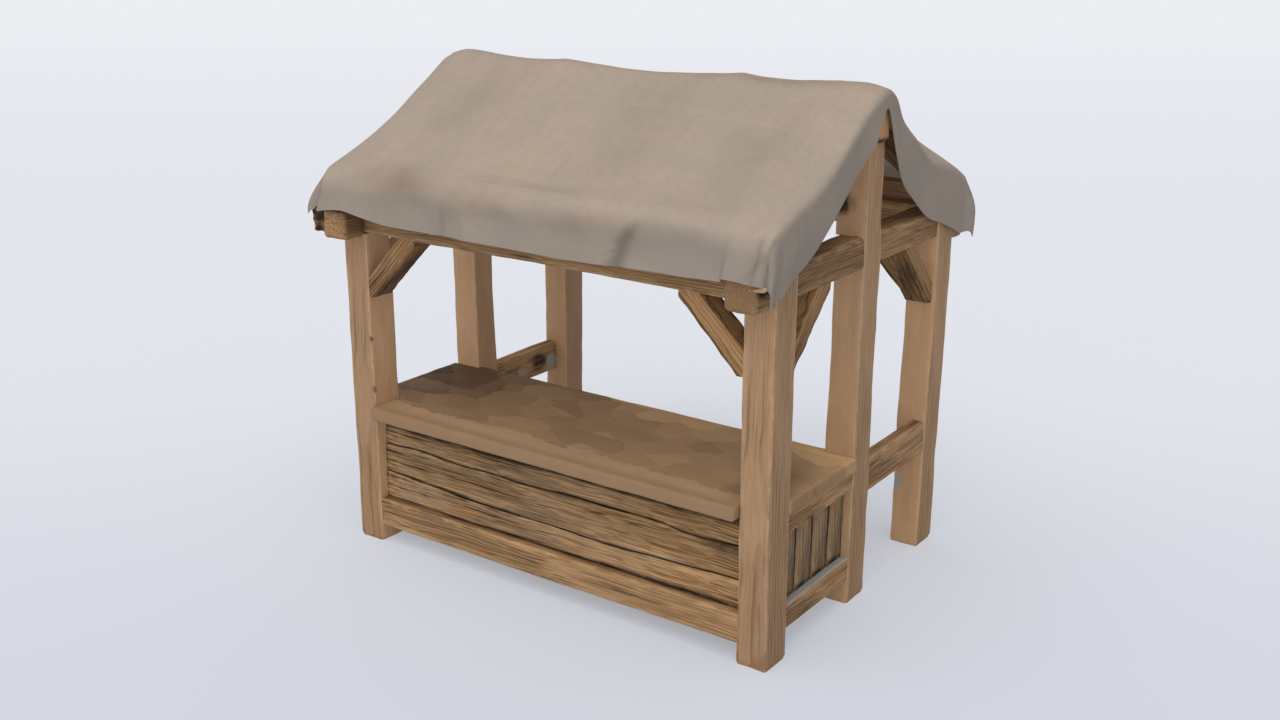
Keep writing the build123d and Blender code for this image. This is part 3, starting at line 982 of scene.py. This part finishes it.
# %% Wedge and splinter
def broken_bit(name, low, high, hewn, nick):
    bit = squared_block(name, low, high)
    split_edges(bit, X=0.012, Y=0.012, Z=0.012)
    round_edges(bit, 0.006, segments=2)
    weather(bit, "Z", bow=0, hewn=hewn, nick=nick, stretch=1.4)
    mark_wear(bit, low, high, "Z", reach=0.02)
    return bit


wedge = broken_bit("rotted_wedge", (-1.572, -1.222, 2.030), (-1.490, -1.140, 2.165), 0.040, 0.014)
add_mark(wedge, lambda co: 0.75 + 0.9 * noise.noise(co * 22.0))
splinter = broken_bit("pale_splinter", (1.445, -1.232, 2.122), (1.535, -1.185, 2.138), 0.020, 0.008)
for co in points(splinter):
    # tapered towards its torn tip, which stands up
    reach = smooth(co.x, 1.45, 1.56)
    co.y += 0.5 * reach * (-1.215 - co.y)
    co.z += 0.012 * reach
mark_faces(splinter, "pale", ((0, -1, 0), 0.25), ((0, 0, 1), 0.35))
complete(wedge, beam_oak, "X")
complete(splinter, post_oak, "X")

# %% [markdown]
# ## The canvas roof
# The roof is one sheet of canvas, thrown over the rafters. A grid is laid out flat, as the cloth
# was cut, and every point of it is then carried to where it hangs: down the slope, round the eave,
# and over the gable, with the sag between the rafters and the folds of the hanging edge.

# %% The shape of the cloth
PITCH = math.radians(27.9)
RIDGE_Z = 2.9877                # the cloth where it crosses a rafter at the ridge
EAVE_RUN = 1.225                # flat, from the ridge to where the eave fold begins
GABLE_RUN = 1.518               # flat, from the middle to where the gable fold begins
EAVE_ARC, GABLE_ARC, TIE_ARC, RIDGE_ARC = 0.190, 0.052, 0.150, 0.100    # lengths of the bends
RAFTERS = (-1.24, -0.63, 0.63, 1.24)
BAY_SAGS = (0.010, 0.034, 0.020)
LAST_SUPPORT = 1.285            # outer face of the outer rafters
TIE_END = (1.31, 1.505)         # the hem rides over the tie ends between these
EARS = {"front": (0.098, 0.015), "back": (0.07, 0.060)}     # left and right corner, standing out


def roll(start, end, arc, length):
    """How far out and how far down a strip has gone that bends evenly, then runs straight."""
    bend = (end - start) / arc
    angle = start + bend * min(length, arc)
    rest = max(0.0, length - arc)
    out = (math.sin(angle) - math.sin(start)) / bend + rest * math.cos(end)
    return out, (math.cos(start) - math.cos(angle)) / bend + rest * math.sin(end)


def bay_sag(x):
    """How far the cloth hangs below the rafters at x, along the ridge."""
    for a, b, depth in zip(RAFTERS, RAFTERS[1:], BAY_SAGS):
        if a <= x <= b:
            t = (x - a) / (b - a)
            return depth * 4 * t * (1 - t)
    return 0.0


def gable_sag(right, front, run):
    """How far the free edge beyond the last rafter hangs below the line of the slope."""
    end = 0.018 * bell(run, 0.0, 0.15)
    if front and right:
        return end + 0.088 * bell(run, 0.72, 0.34)
    if front:
        return end + 0.078 * bell(run, 0.72, 0.52) + 0.012 * bell(run, 0.25, 0.15)
    end += 0.070 * smooth(run, 0.0, 0.25)
    return end + 0.100 * bell(run, 0.68, 0.28) + 0.045 * bell(run, 0.30, 0.20)


def tie_zone(x):
    """1 where the hem rides over the end of a tie beam; it climbs up more suddenly on the right."""
    reach = 0.03 if x > 0 else 0.17
    past = smooth(abs(x), TIE_END[1], TIE_END[1] + 0.03)
    return smooth(abs(x), TIE_END[0] - reach, TIE_END[0]) * (1 - past)


def hem_length(x, front):
    """Length of cloth that hangs past the start of the eave fold."""
    free = 0.352 + 0.005 * smooth(x, 0.10, 0.30) - 0.010 * smooth(x, 0.50, 0.70)
    free -= 0.022 * smooth(-x, 0.95, 1.20) + 0.010 * smooth(x, 0.98, 1.25)
    corner = 0.235 if front and x <= 0 else 0.330
    free += (corner - free) * smooth(abs(x), TIE_END[1], GABLE_RUN)
    return free + ((0.328 if x > 0 else 0.310) - free) * tie_zone(x)


def flap_length(right, front, run):
    """Length of cloth past the start of the gable fold, cut back round the end of the ridge."""
    if not right:
        length = 0.240 - 0.03 * smooth(run, 0.9, 1.2) if front else 0.250
        return length - 0.085 * bell(run, 0.0, 0.065)
    if front:
        length = 0.270 + 0.070 * smooth(run, 0.45, 1.1) + 0.040 * smooth(run, 1.08, 1.22)
    else:
        length = 0.250 + 0.092 * smooth(run, -0.10, 0.35) + 0.033 * smooth(run, 0.75, 1.1)
    return length - 0.165 * bell(run, 0.045 if front else -0.045, 0.072)


def hang_point(x_run, y_run):
    """Where a point of the flat cloth lies; both runs are measured from the middle of the ridge."""
    right, front = x_run > 0, y_run < 0
    side, facing = (1 if right else -1), (-1 if front else 1)
    past_gable = max(0.0, abs(x_run) - GABLE_RUN)
    past_eave = max(0.0, abs(y_run) - EAVE_RUN)
    x, run = min(abs(x_run), GABLE_RUN), min(abs(y_run), EAVE_RUN)
    # down the slope, rounded over the ridge, sagging in each bay and past the last rafter
    y, ridge_down = roll(0.0, PITCH, RIDGE_ARC, run)
    z = RIDGE_Z - ridge_down
    loose = 1 - smooth(abs(y_run), EAVE_RUN - 0.12, EAVE_RUN + 0.05)
    z -= bay_sag(side * x) * (1 + 0.35 * math.sin(math.pi * run / EAVE_RUN)) * loose
    fall = gable_sag(right, front, run)
    z -= fall * max(0.0, (x - LAST_SUPPORT) / (GABLE_RUN - LAST_SUPPORT)) ** 1.7
    z += (0.010 if right else 0.016) * bell(x, 1.42, 0.10) * bell(run, 0.0, 0.30)
    over = math.hypot(past_gable, past_eave)
    rides = tie_zone(x_run)
    if over > 0:
        to_side, to_eave = past_gable / over, past_eave / over
        both = (2 * to_side * to_eave) ** 2
        over *= 1 - 0.15 * both
        tilt = math.atan(1.7 * fall / (GABLE_RUN - LAST_SUPPORT))
        side_out, side_down = roll(tilt, math.radians(93), GABLE_ARC, over)
        eave_out, eave_down = roll(PITCH, math.radians(87), EAVE_ARC, over)
        tie_out, tie_down = roll(PITCH, math.radians(64), TIE_ARC, over)
        eave_out += (tie_out - eave_out) * rides
        eave_down += (tie_down - eave_down) * rides
        # the hem stands off a little, and each corner has an ear of its own
        eave_out += 0.014 * smooth(over, 0.24, 0.38) * (1 - rides)
        ear = 0.7 * EARS["front" if front else "back"][right] * both * smooth(over, 0.03, 0.28)
        x += to_side * side_out + ear
        y += to_eave * eave_out + ear
        z -= to_side ** 2 * side_down + to_eave ** 2 * eave_down
    point = Vector((side * x, facing * y, z))
    # slow unevenness of hand-hung cloth, with longer waves along the hanging edge
    point.z += 0.010 * noise.noise(point * 1.7)
    swing = smooth(past_eave, 0.08, 0.32) * (1 - rides)
    point.y += facing * swing * 0.020 * noise.noise(Vector((x_run * 2.4, facing * 3.0, 0.7)))
    point.x += side * 0.008 * smooth(past_gable, 0.0, 0.06) * bell(run, 0.0, 0.14)
    wave = 0.006 + 0.012 * noise.noise(Vector((y_run * 3.1, side * 5.0, 4.2)))
    point.x += side * smooth(past_gable, 0.06, 0.25) * wave
    return point


# %% Laying out the canvas
GRID, GABLE_FLAP, EAVE_FLAP = 0.020, 0.28, 0.37
flat_width = 2 * (GABLE_RUN + GABLE_FLAP)
flat_length = 2 * (EAVE_RUN + EAVE_FLAP)
put_down()
bpy.ops.mesh.primitive_grid_add(
    x_subdivisions=round(flat_width / GRID), y_subdivisions=round(flat_length / GRID), size=2
)
canvas = new_piece("canvas_roof")
runs = []
for co in points(canvas):
    # the sheet is trimmed to the hem and flap lengths, so its rows follow its edges
    x_flat, y_flat = abs(co.x) * flat_width / 2, abs(co.y) * flat_length / 2
    flap = flap_length(co.x > 0, co.y < 0, min(y_flat, EAVE_RUN))
    hem = hem_length(math.copysign(min(x_flat, GABLE_RUN), co.x), co.y < 0)
    if x_flat > GABLE_RUN:
        x_flat = GABLE_RUN + (x_flat - GABLE_RUN) / GABLE_FLAP * flap
    if y_flat > EAVE_RUN:
        y_flat = EAVE_RUN + (y_flat - EAVE_RUN) / EAVE_FLAP * hem
    run = (math.copysign(x_flat, co.x), math.copysign(y_flat, co.y))
    runs.append(run)
    co[:] = hang_point(*run)
canvas.data.update()
print("canvas grid:", len(runs), "points")


# %% [markdown]
# ## Folds, stains and painted shade of the canvas
# Cloth that has hung for years keeps the folds that hands and wind pressed into it. Each one is a
# soft bump over the flat sheet, pushed out along the normals, so it follows the cloth wherever it
# hangs. Smoke, grey weather, and painted shade in the creases, under the eave and on the flaps are
# written the same way, as attributes.

# %% Folds and dents pressed in by hand
def uneven(x, y, size, turn):
    return noise.noise(Vector((x * size, y * size, turn)))


def folds(x, y):
    """How far the cloth stands out at a point of the flat sheet, besides its main shape."""
    ripples = 0.004 * noise.noise(Vector((x * 5, y * 3, 1.0)))
    if y > 0:
        return ripples
    down = -y - EAVE_RUN
    # the pocket right of the middle: a standing edge with a hollow behind it
    fold = x - 0.64 + 0.35 * (down - 0.22)
    height = 0.028 * bell(fold, 0.0, 0.018) - 0.032 * bell(fold, 0.052, 0.035)
    height = (height + 0.010 * bell(fold, 0.150, 0.040)) * smooth(down, 0.08, 0.18)
    # two small pleats left of the middle, with a hollow between them
    height += 0.024 * bell(x, -0.600 - 0.06 * down, 0.018) * smooth(down, 0.10, 0.28)
    pleat = 0.013 * bell(x, -0.430 + 0.10 * down, 0.020) - 0.014 * bell(x, -0.520, 0.05)
    height += pleat * smooth(down, 0.16, 0.31)
    # thumb-shaped dents under the eave
    height -= 0.018 * bell(x, -0.80, 0.08) * bell(down, 0.20, 0.06)
    height -= 0.014 * bell(x, -0.20, 0.12) * bell(down, 0.20, 0.05)
    height -= 0.014 * bell(x, 0.25, 0.14) * bell(down, 0.22, 0.06)
    height -= 0.014 * bell(x, 1.05, 0.12) * bell(down, 0.20, 0.07)
    # the fold that runs from the tie end up to the corner of the roof
    height -= 0.020 * bell(x, 1.46, 0.030) * smooth(down, 0.05, 0.20)
    # a soft diagonal ripple on the slope above the left bay
    across = x + 0.95 + 0.25 * (y + 0.6)
    height += 0.005 * math.sin(across * 14) * bell(across, 0.0, 0.35) * bell(y, -0.65, 0.35)
    return height + ripples


normals = [vertex.normal.copy() for vertex in canvas.data.vertices]
for co, run, normal in zip(points(canvas), runs, normals):
    co += normal * folds(*run)
flat_place = canvas.data.attributes.new("flat", "FLOAT_VECTOR", "POINT")
flat_place.data.foreach_set("vector", [value for x, y in runs for value in (x, y, 0.0)])


def browned_and_shaded(x, y):
    """Where smoke and hands have browned the cloth, with painted shade under the eave fold."""
    down = abs(y) - EAVE_RUN
    patch = 0.62 * bell(x, -0.90, 0.20) * bell(down, 0.09, 0.10)
    patch += 0.25 * bell(x, -1.16, 0.10) * bell(down, 0.07, 0.06)
    patch += 0.30 * bell(x, 0.40, 0.30) * bell(down, 0.15, 0.06)
    patch += 0.32 * bell(x, -0.36, 0.30) * bell(down, 0.13, 0.08)
    patch += 0.35 * bell(x, 0.9, 0.5) * bell(abs(y), 0.05, 0.05)
    return patch * (1 + 0.5 * uneven(x, y, 7, 2.0))


def grey_tone(x, y):
    """Where the cloth is greyer: the hanging edges, the flaps and two places on the slope, greyed
    by weather and darkened as painted shade on the flaps and the facet at the front right corner.
    """
    down = abs(y) - EAVE_RUN
    patch = 0.95 * smooth(down, 0.06, 0.22) + 0.9 * smooth(abs(x), GABLE_RUN, GABLE_RUN + 0.05)
    patch += 0.45 * bell(x, -0.98, 0.20) * bell(y, -0.50, 0.35)
    patch += 0.32 * bell(x, 0.30, 0.24) * bell(y, -0.55, 0.45)
    patch += 0.32 * bell(x, 1.10, 0.24) * bell(y, -0.70, 0.40)
    patch += 0.55 * bell(x, 0.95, 0.26) * bell(down, 0.17, 0.10)
    # painted shade on the facet beside the fold at the front right corner
    facet = smooth(x - 1.435 - 0.65 * (0.30 - down), -0.01, 0.01)
    patch += 0.5 * facet * smooth(down, 0.0, 0.06)
    return patch * (1 + 0.4 * uneven(x, y, 3, 5.0))


def crease_shade(x, y):
    """Painted shade in the creases of the hanging edge and beside its folds."""
    down = -y - EAVE_RUN
    fold = x - 0.675 + 0.35 * (down - 0.22)
    behind = smooth(fold, -0.01, 0.02) * (1 - smooth(fold, 0.03, 0.16))
    shade = 0.8 * bell(fold, 0.0, 0.022) * smooth(down, 0.10, 0.20)
    shade += 0.35 * behind * smooth(down, 0.08, 0.2)
    shade += 0.4 * bell(x, 1.435 + 0.65 * (0.30 - down), 0.018) * smooth(down, 0.02, 0.08)
    shade += 0.5 * bell(x, -0.57, 0.02) * smooth(down, 0.15, 0.25)
    return shade + 0.6 * bell(x, 1.475, 0.02) * smooth(down, 0.05, 0.12)


for rule in (browned_and_shaded, grey_tone, crease_shade):
    write(canvas, rule.__name__, [clamp(rule(x, y)) for x, y in runs])
modify(canvas, "SOLIDIFY", thickness=0.006, offset=1.0)
apply_all(canvas)
finish_mesh(canvas, 80)
hand_over(canvas, "cloth_roof")
print("canvas, laid flat:", round(flat_width, 2), "x", round(flat_length, 2))

# %% Canvas finish
r = Recipe(bpy.data.materials.new("canvas"))
flat = r.read("flat", "Vector")
patch = r.ramp(r.speckle(flat, 1.6, 3.0, 0.55), 0.34, 0.66)
colour = r.mix(patch, paint(170, 153, 138), paint(163, 150, 137))
# washed-out streaks down the slope and along it
streak = r.ramp(r.speckle(r.stretched(flat, (1.0, 0.22, 1.0)), 9.0, 4.0, 0.6), 0.38, 0.66)
colour = r.mix(r.times(streak, 0.25), colour, paint(152, 140, 127))
band = r.ramp(r.speckle(r.stretched(flat, (0.18, 1.0, 1.0)), 6.0, 4.0, 0.6), 0.42, 0.66)
colour = r.mix(r.times(band, 0.30), colour, paint(178, 158, 140))
# grey and brown weathering, with painted shade on the flaps, under the eave and in the creases
for label, tone, share in (
    ("grey_tone", (138, 129, 119), 0.90), ("browned_and_shaded", (120, 101, 84), 0.85),
    ("crease_shade", (112, 100, 88), 0.70),
):
    colour = r.mix(r.times(r.read(label), share), colour, paint(*tone))
speck = r.ramp(r.speckle(flat, 60.0), 0.76, 0.80)
colour = r.mix(r.times(speck, 0.5), colour, paint(92, 78, 66))
threads = [r.step("TexWave", "Fac", bands_direction=way, Vector=flat, Scale=95.0,
                  Distortion=1.5, Detail=1.0) for way in "XY"]
crinkle = r.speckle(flat, 22.0, 5.0, 0.6)
height = r.times_plus(r.plus(*threads), 0.12, crinkle)
colour = r.mix(r.ramp(crinkle, 0.35, 0.7, 0.0, 0.10), colour, paint(120, 106, 94))
rough = r.ramp(crinkle, 0.3, 0.7, 0.86, 0.96)
coat(canvas, r.surface(colour, rough, 0.1, 0.25, 0.006, height))

# %% [markdown]
# ## The finish of the counter
# Years of goods have rubbed the top into patches. A Voronoi texture, drawn out along the counter,
# gives every patch one tone, with painted shade to the back on the left and painted light to the
# back from the middle on. Attributes rub its front edge pale, darken its ends, and paint shade on
# its lip and beside the right front post.

# %% Counter top finish
CHIP_STRETCH = 0.62
r = Recipe(bpy.data.materials.new("counter_oak"))
place = r.step("TexCoord", "Object")
wander = r.step("TexNoise", "Color", Vector=place, Scale=7.0, Detail=3.0)
wander = r.vector("MULTIPLY_ADD", wander, (0.09, 0.09, 0.0), place)
chips = r.step("TexVoronoi", Vector=r.stretched(wander, (CHIP_STRETCH, 1.0, 0.0)), Scale=6.5)
# every patch takes one tone, read at its own centre, so the tone steps from patch to patch
centre = r.step("SeparateXYZ", Vector=chips.node.outputs["Position"])
odd = r.step("SeparateXYZ", Vector=chips.node.outputs["Color"])
across, back = r.maths("DIVIDE", centre, CHIP_STRETCH), centre.node.outputs["Y"]
# painted shade: darker to the back on the left, under the canvas; painted light: paler to the back
# from the middle on
painted_shade = r.times(r.ramp(across, -1.50, -0.25, -0.5, 0.0), r.ramp(back, -0.9, -0.35))
painted_light = r.times(r.ramp(across, -0.3, 0.2, 0.0, 0.5), r.ramp(back, -0.4, 0.05))
tone = r.times_plus(odd, 0.18, r.plus(painted_shade, painted_light))
tone = r.plus(tone, r.ramp(across, -0.25, 0.60, 0.0, 0.07))
colour = r.mix(r.times_plus(tone, 2.0, 0.82), paint(68, 49, 29), paint(160, 128, 94))
colour = r.mix(r.times_plus(tone, 2.0, -0.18), colour, paint(212, 172, 126))
fleck = r.speckle(r.stretched(place, (0.05, 1.0, 1.0)), 90.0, 4.0, 0.6)
fleck = r.ramp(fleck, 0.40, 0.68)
colour = r.mix(r.times(fleck, 0.05), colour, paint(72, 54, 36))
# the front edge and its lip are rubbed paler
rubbed = r.plus(r.read("worn"), r.speckle(place, 11.0, 4.0, 0.6))
rubbed = r.ramp(r.times_plus(odd, 0.35, rubbed), 1.05, 1.12)
colour = r.mix(r.times(rubbed, 0.85), colour, paint(184, 150, 114))
colour = r.mix(r.read("dirt_and_shade"), colour, paint(74, 56, 38))
rough = r.ramp(fleck, 0.0, 1.0, 0.72, 0.86)
coat(slab, r.surface(colour, rough, 0.2, 0.2, 0.003, fleck))
lip = top_low.y
write(slab, "worn", [1 - smooth(co.y - lip, 0.10, 0.27) for co in points(slab)])
# painted shadow beside the front right post
add_mark(slab, spot((1.30, -0.66, top_high.z), (0.20, 0.42, 0.2), 0.50))
# painted shade on the front strip of the top and on the lip
add_mark(slab, lambda co: 0.30 * (1 - smooth(co.y - lip, 0.04, 0.11)))
add_mark(slab, lambda co: 0.50 * (1 - smooth(co.y - lip, 0.003, 0.016)))
add_mark(slab, lambda co: 0.42 * smooth(abs(co.x), top_high.x - 0.010, top_high.x - 0.002))

# %% [markdown]
# ## Last checks
# By now every CAD node is replaced by a hewn piece or dressed in oak. The box of the dressed
# model is printed.

# %% Any CAD node still plain
for name, part in frame["nodes"].items():
    if not part.hide_render and not part.data.materials[0].name.startswith("roof_oak"):
        print("still plain:", name)

# %% Sizes and the last line
low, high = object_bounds()
print("visual box:", [round(v, 3) for v in (*low, *high)])
